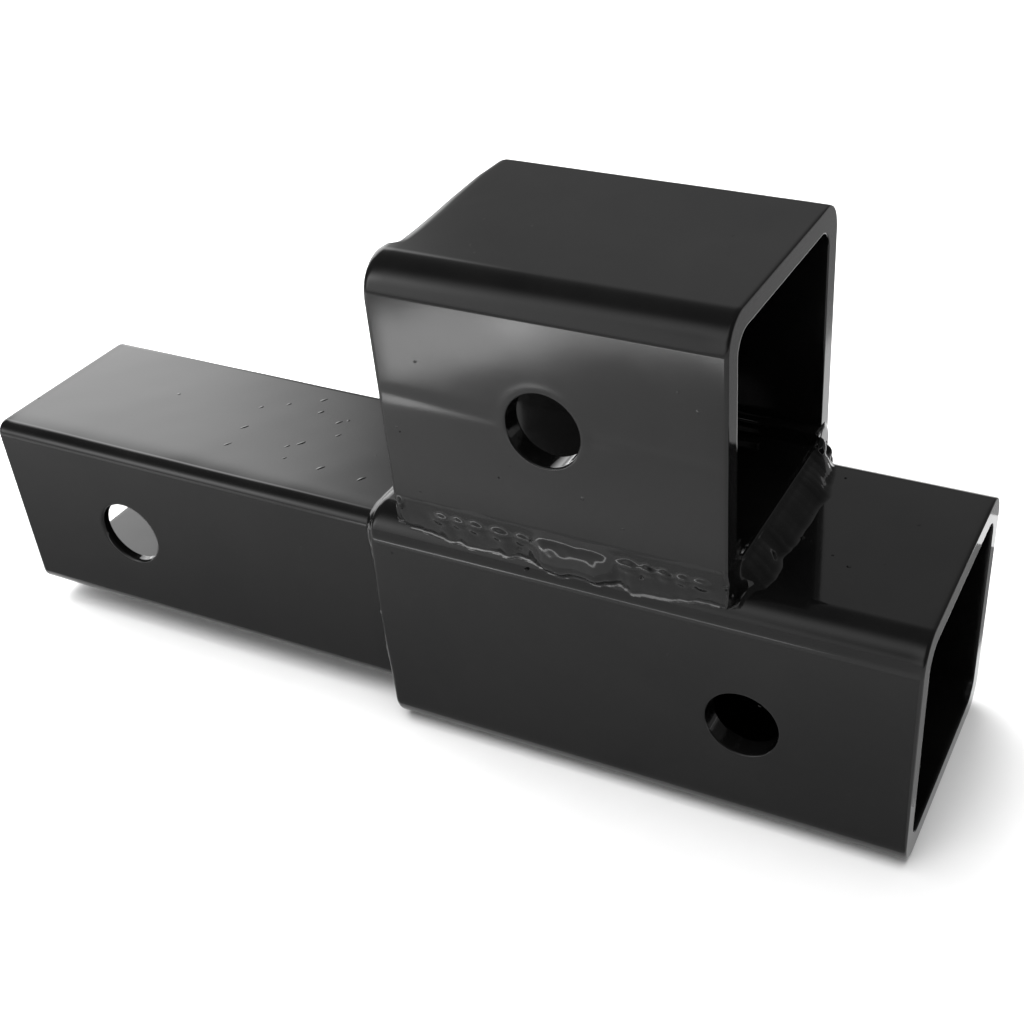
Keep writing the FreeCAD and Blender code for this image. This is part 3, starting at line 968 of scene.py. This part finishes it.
VOX = 0.33
welds = [
    ("near_side_bead", "near_side_weld", near_metal, receivers, 1.0, (89.3, -34.0, 24.5), (174.0, -23.0, 42.0)),
    ("far_side_bead", "far_side_weld", far_metal, receivers, 1.3, (89.3, 23.0, 25.5), (174.0, 34.0, 41.0)),
    ("front_fillet", "front_end_weld", front_metal, receivers, 1.4, (168.5, -34.0, 25.5), (179.8, 34.0, 42.5)),
    ("rear_fillet", "rear_end_weld", rear_metal, receivers, 0.9, (83.3, -34.0, 25.5), (94.0, 34.0, 42.5)),
    ("shank_ring", "shank_weld", shank_metal, shank_base, 0.9, (75.5, -32.0, -31.2), (84.4, 32.0, 32.0)),
]
for name, node, metal, base, k, lo, hi in welds:
    field = weld_mesh(metal, base, k, toe=bead_toe if name == "near_side_bead" else None)
    P, Q = surface_nets(field, lo, hi, VOX * {"shank_ring": 1.25, "near_side_bead": 0.76}.get(name, 1.0))
    P, Q = biggest_part(P, Q)
    P[:, 1] = np.clip(P[:, 1], -LIMIT_Y, LIMIT_Y)
    P[:, 2] = np.maximum(P[:, 2], -31.7)
    mesh_object(name, P, Q, paint_weld, node)

# grains: weld spatter, then dust and drips under the paint
UP, NEAR = (0, 0, 1), (0, -1, 0)
spatter = [
    ((177.9, -4.7, 31.75), UP, (1, 0, 0), 0.62, 0.58, 0.5, 0.03), ((179.9, -5.1, 31.75), UP, (1, 1, 0), 0.28, 0.25, 0.16, 0.03),
    ((176.9, 4.5, 31.75), UP, (0, 1, 0), 0.5, 0.35, 0.3, 0.03), ((179.1, 21.5, 31.75), UP, (0, 1, 0), 0.42, 0.36, 0.26, 0.03),
    ((185.9, -8.3, 31.75), UP, (1, 0.4, 0), 0.34, 0.26, 0.16, 0.03), ((88.3, -31.75, 21.8), NEAR, (1, 0, 0.6), 0.5, 0.34, 0.3, 0.03),
    ((86.2, -31.75, 10.0), NEAR, (1, 0, 0), 0.36, 0.2, 0.12, 0.03), ((123.5, -31.42, 26.6), (0, -0.955, 0.296), (1, 0, 0.2), 0.5, 0.36, 0.26, 0.03),
    ((119.2, -31.75, 49.7), NEAR, (1, 0, 0), 0.3, 0.26, 0.2, 0.03), ((95.6, -31.75, 55.8), NEAR, (1, 0, 0.3), 0.28, 0.2, 0.1, 0.03),
    ((178.5, -31.75, 5.6), NEAR, (1, 0, -0.3), 0.42, 0.2, 0.09, 0.03), ((182.2, -31.75, 5.2), NEAR, (1, 0, -0.2), 0.5, 0.2, 0.09, 0.03),
    ((80.9, 4.0, 25.4), UP, (1, 0, 0), 0.4, 0.36, 0.25, 0.03), ((76.8, -9.0, 25.4), UP, (1, 0.5, 0), 0.3, 0.26, 0.2, 0.03),
    ((74.5, 15.0, 25.4), UP, (1, 0.2, 0), 0.3, 0.24, 0.16, 0.03), ((84.0, 31.75, 19.0), (0, 1, 0), (1, 0, 0), 0.4, 0.36, 0.25, 0.03),
    ((120.0, 31.75, 21.0), (0, 1, 0), (1, 0, 0), 0.4, 0.3, 0.25, 0.03), ((150.0, 31.75, 45.0), (0, 1, 0), (1, 0, 0.5), 0.34, 0.3, 0.2, 0.03),
]
nibs = []


def on_skin(T, x, y, z):
    """How far the skin has sunk at a point."""
    return float(skin_depth(T, np.array([[x, y, z]], float))[0])


for x, y, a, b, h in ((25.8, -2.5, 1.5, 0.55, 0.10), (26.9, -11, 1.3, 0.5, 0.09), (44.3, -3.7, 1.6, 0.6, 0.10), (41.8, -6.2, 1.0, 0.45, 0.08),
                      (55.7, -11.8, 1.5, 0.6, 0.10), (67.9, -12.2, 1.5, 0.6, 0.11), (44.5, -11.2, 0.8, 0.4, 0.07), (37.2, 16.8, 1.4, 0.6, 0.07),
                      (40.1, 11.2, 1.2, 0.6, 0.07), (23.7, 7.6, 0.9, 0.5, 0.06), (29.7, 11.6, 0.9, 0.5, 0.06), (47.5, 8.5, 1.3, 0.6, 0.07), (51.0, 3.0, 1.1, 0.5, 0.06)):
    nibs.append(((x, y, 25.4 - on_skin(SHANK, x, y, 25.4)), UP, (0.55, 0.85, 0), a, b, h, 0.03))
for x, y in ((106.1, -5.3), (117.3, -5.0), (109.9, -17.8), (112.6, -20.9), (152.1, -0.2), (168.8, 10.1), (152.5, -8.2), (127.0, 14.0), (141.0, 21.0)):
    sunk = on_skin(UPPER, x, y, 95.25)
    nibs.append(((x, y, 95.25 - sunk), UP, (1.0, 0.3, 0), 0.5, 0.4, min(0.06, sunk), 0.03))
for x, z in ((95.0, 57.0), (102.0, 74.0), (161.0, 79.0), (148.0, 44.0)):
    nibs.append(((x, -31.75 + on_skin(UPPER, x, -31.75, z), z), NEAR, (1.0, 0, 0.4), 0.6, 0.35, 0.05, 0.03))
P, Fc = grain_mesh(spatter)
mesh_object("weld_spatter", P, Fc, paint_grain, None)
P, Fc = grain_mesh(nibs)
mesh_object("paint_nibs", P, Fc, paint_grain, None)

# ------------------------------------------------------------------ floor
floor_mat = bpy.data.materials.new("pale_floor")
floor_mat.use_nodes = True
g = Graph(floor_mat.node_tree)
out = g.node("ShaderNodeOutputMaterial")
bsdf = g.node("ShaderNodeBsdfPrincipled")
g.l.new(bsdf.outputs[0], out.inputs[0])
tc = g.node("ShaderNodeTexCoord")
speck = g.noise(tc.outputs["Object"], 60.0, 3.0, 0.5)
mix = g.node("ShaderNodeMix", data_type="RGBA")
mix.inputs["A"].default_value = (0.80, 0.80, 0.80, 1)
mix.inputs["B"].default_value = (0.83, 0.83, 0.83, 1)
g.l.new(speck, mix.inputs["Factor"])
g.l.new(mix.outputs["Result"], bsdf.inputs["Base Color"])
bsdf.inputs["Roughness"].default_value = 0.9
bsdf.inputs["Specular IOR Level"].default_value = 0.0
me = bpy.data.meshes.new("floor")
FL = 8.0
me.from_pydata([(-FL, -FL, -0.03175), (FL, -FL, -0.03175), (FL, FL, -0.03175), (-FL, FL, -0.03175)], [], [(0, 1, 2, 3)])
me.materials.append(floor_mat)
floor = bpy.data.objects.new("floor", me)
scene.collection.objects.link(floor)
floor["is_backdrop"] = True

# ------------------------------------------------------------------ light
world = bpy.data.worlds.new("studio")
scene.world = world
world.use_nodes = True
g = Graph(world.node_tree)
out = g.node("ShaderNodeOutputWorld")
tc = g.node("ShaderNodeTexCoord")
sep = g.node("ShaderNodeSeparateXYZ")
g.l.new(tc.outputs["Generated"], sep.inputs[0])
dx, dy, dz = sep.outputs
elev = g.math("MULTIPLY", g.math("ARCSINE", dz), 180 / math.pi)
azim = g.math("MULTIPLY", g.math("ARCTAN2", dx, dy), 180 / math.pi)      # 0 at +Y, 90 at +X, -90 at -X, 180 at -Y


def lobe(az, el, saz, sel, amount, power=2.0):
    """A soft oval glow at a direction; a higher power makes it flatter inside with a quicker edge."""
    da = g.math("WRAP", g.math("SUBTRACT", azim, az), 180.0)
    da.node.inputs[2].default_value = -180.0
    a = g.math("POWER", g.math("ABSOLUTE", g.math("DIVIDE", da, saz)), power)
    e = g.math("POWER", g.math("ABSOLUTE", g.math("DIVIDE", g.math("SUBTRACT", elev, el), sel)), power)
    return g.math("MULTIPLY", g.math("EXPONENT", g.math("MULTIPLY", g.math("ADD", a, e), -0.5)), amount)


glow = None
for spec in (
    (-58, 20, 17.3, 17, 4.1, 6.0),   # main softbox, behind on the left
    (-24, 36, 28, 12, 0.42),          # its spill across the back
    (-139, 15, 5.5, 8, 3.6),         # tall narrow light in front on the left
    (-149, 20, 12, 18, 1.7),         # dim fill in front
    (-166, 42, 12, 14, 1.2),         # and above it
    (-166, 3, 18, 7, 0.9),           # pale horizon in front
):
    v = lobe(*spec)
    glow = v if glow is None else g.math("ADD", glow, v)
glow = g.math("ADD", glow, 0.16)
bg_glow = g.node("ShaderNodeBackground")
bg_glow.inputs["Color"].default_value = (1, 1, 1, 1)
g.l.new(glow, bg_glow.inputs["Strength"])
bg_cam = g.node("ShaderNodeBackground")
bg_cam.inputs["Color"].default_value = (0.93, 0.93, 0.93, 1)
bg_cam.inputs["Strength"].default_value = 1.0
lp = g.node("ShaderNodeLightPath")
mixs = g.node("ShaderNodeMixShader")
g.l.new(lp.outputs["Is Camera Ray"], mixs.inputs[0])
g.l.new(bg_glow.outputs[0], mixs.inputs[1])
g.l.new(bg_cam.outputs[0], mixs.inputs[2])
g.l.new(mixs.outputs[0], out.inputs[0])


def area(name, place, target, size, power, glossy=False, spread=180.0):
    la = bpy.data.lights.new(name, "AREA")
    la.shape = "RECTANGLE"
    la.size, la.size_y = size
    la.energy = power
    la.spread = math.radians(spread)
    o = bpy.data.objects.new(name, la)
    scene.collection.objects.link(o)
    o.location = place
    o.rotation_mode = "QUATERNION"
    o.rotation_quaternion = (Vector(target) - Vector(place)).to_track_quat("-Z", "Y")
    o.visible_camera = False
    o.visible_glossy = glossy
    return o


sun = bpy.data.lights.new("overhead", "SUN")
sun.energy = 3.0
sun.angle = math.radians(50)
so = bpy.data.objects.new("overhead", sun)
scene.collection.objects.link(so)
so.rotation_mode = "QUATERNION"
so.rotation_quaternion = Vector((0.05, 0.22, -1)).to_track_quat("-Z", "Y")
so.visible_glossy = False
area("back_wash", (-0.22, 0.42, 0.8), (-0.16, 0.3, 0), (0.7, 0.6), 5.0, spread=140)
# lamps low over the floor in front, which the near faces mirror
def low_lamp(name, x, y, lift, size, turn, power):
    o = area(name, (x, y, -0.03175 + lift), (x, y, -0.2), size, power)
    o.rotation_quaternion = Matrix.Rotation(math.radians(turn), 3, "Z").to_quaternion() @ Vector((0, 0, -1)).to_track_quat("-Z", "Y")
    return o


low_lamp("floor_pool", -0.012, -0.219, 0.010, (0.070, 0.056), -42, 0.118)
low_lamp("floor_strip", 0.066, -0.252, 0.009, (0.136, 0.036), -6, 0.128)
low_lamp("floor_left", -0.150, -0.225, 0.020, (0.08, 0.05), 0, 0.035)
area("left_wash", (-0.40, 0.12, 0.45), (-0.26, 0.08, 0), (0.4, 0.4), 1.4, spread=100)


def painted_reflection_sheet(name, x0, x1, y0, y1, z, level):
    """A glowing sheet laid on the floor, which only mirror-like reflections see: a painted reflection of the floor at
    the given level.
    """
    mat = bpy.data.materials.new(name)
    mat.use_nodes = True
    g = Graph(mat.node_tree)
    out = g.node("ShaderNodeOutputMaterial")
    em = g.node("ShaderNodeEmission")
    em.inputs["Color"].default_value = (1, 1, 1, 1)
    em.inputs["Strength"].default_value = level
    g.l.new(em.outputs[0], out.inputs[0])
    me = bpy.data.meshes.new(name)
    me.from_pydata([(x0, y0, z), (x1, y0, z), (x1, y1, z), (x0, y1, z)], [], [(0, 1, 2, 3)])
    me.materials.append(mat)
    o = bpy.data.objects.new(name, me)
    scene.collection.objects.link(o)
    o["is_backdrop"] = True
    o.visible_camera = o.visible_diffuse = o.visible_shadow = o.visible_transmission = False
    return o


def front_painted_reflection_sheet(x0, x1, y0, y1, z):
    """A glowing sheet which only mirror-like reflections see, a painted reflection of the floor right in front of the
    part: painted shade makes it darker close by, and it fades out forwards and to the left.
    """
    mat = bpy.data.materials.new("painted_reflection_sheet_front")
    mat.use_nodes = True
    g = Graph(mat.node_tree)
    out = g.node("ShaderNodeOutputMaterial")
    em = g.node("ShaderNodeEmission")
    em.inputs["Color"].default_value = (1, 1, 1, 1)
    clear = g.node("ShaderNodeBsdfTransparent")
    tc = g.node("ShaderNodeTexCoord")
    sep = g.node("ShaderNodeSeparateXYZ")
    g.l.new(tc.outputs["Object"], sep.inputs[0])
    px, py, _ = sep.outputs
    # painted shade: the glow drops from 1.10 to 0.53 towards the part
    g.l.new(g.remap(py, -0.095, -0.036, 1.10, 0.53), em.inputs["Strength"])
    cover = g.math("MULTIPLY", g.remap(py, y0, y0 + 0.035, 0, 1, True), g.remap(px, x0, x0 + 0.04, 0, 1, True))
    mixer = g.node("ShaderNodeMixShader")
    g.l.new(cover, mixer.inputs[0])
    g.l.new(clear.outputs[0], mixer.inputs[1])
    g.l.new(em.outputs[0], mixer.inputs[2])
    g.l.new(mixer.outputs[0], out.inputs[0])
    me = bpy.data.meshes.new("painted_reflection_sheet_front")
    me.from_pydata([(x0, y0, z), (x1, y0, z), (x1, y1, z), (x0, y1, z)], [], [(0, 1, 2, 3)])
    me.materials.append(mat)
    o = bpy.data.objects.new("painted_reflection_sheet_front", me)
    scene.collection.objects.link(o)
    o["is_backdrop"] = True
    o.visible_camera = o.visible_diffuse = o.visible_shadow = o.visible_transmission = False
    return o


# painted reflection of the floor in front of the part, with painted shade close to it
front_painted_reflection_sheet(-0.200, 0.2165, -0.135, -0.0335, -0.0312)
# painted shade: dim glowing sheets on the floor to the right of the part and behind it on the right, darkening what the
# receivers' end faces mirror
painted_reflection_sheet("painted_reflection_sheet_near", 0.2165, 6.0, -0.012, 0.096, -0.0312, 0.33)
painted_reflection_sheet("painted_reflection_sheet_far", 0.2245, 6.0, 0.112, 6.0, -0.0312, 0.50)

# ------------------------------------------------------------------ camera
AZ, EL, ROLL = 0.454359242804503, 0.6196503374477283, 0.04269594992719742
CX, CY, F_PX = 634.9360823183929, 544.8116273321796, 1477.0842603437313
PLACE = Vector((0.25972453820720034, -0.2553589422029017, 0.21818731273879214))
back = Vector((math.sin(AZ) * math.cos(EL), -math.cos(AZ) * math.cos(EL), math.sin(EL)))
fwd = -back
right = fwd.cross(Vector((0, 0, 1))).normalized()
down = fwd.cross(right)
r2 = right * math.cos(ROLL) + down * math.sin(ROLL)
d2 = -right * math.sin(ROLL) + down * math.cos(ROLL)
cam = bpy.data.cameras.new("camera")
cam.sensor_fit = "HORIZONTAL"
cam.sensor_width = 36.0
cam.lens = F_PX * 36.0 / 1024
cam.shift_x = (512 - CX) / 1024
cam.shift_y = (CY - 512) / 1024
cam.clip_start, cam.clip_end = 0.01, 50
co = bpy.data.objects.new("camera", cam)
scene.collection.objects.link(co)
m = Matrix((r2, -d2, back)).transposed().to_4x4()
m.translation = PLACE
co.matrix_world = m
scene.camera = co

scene.view_settings.view_transform = "Standard"
scene.view_settings.look = "None"

lo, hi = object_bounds()
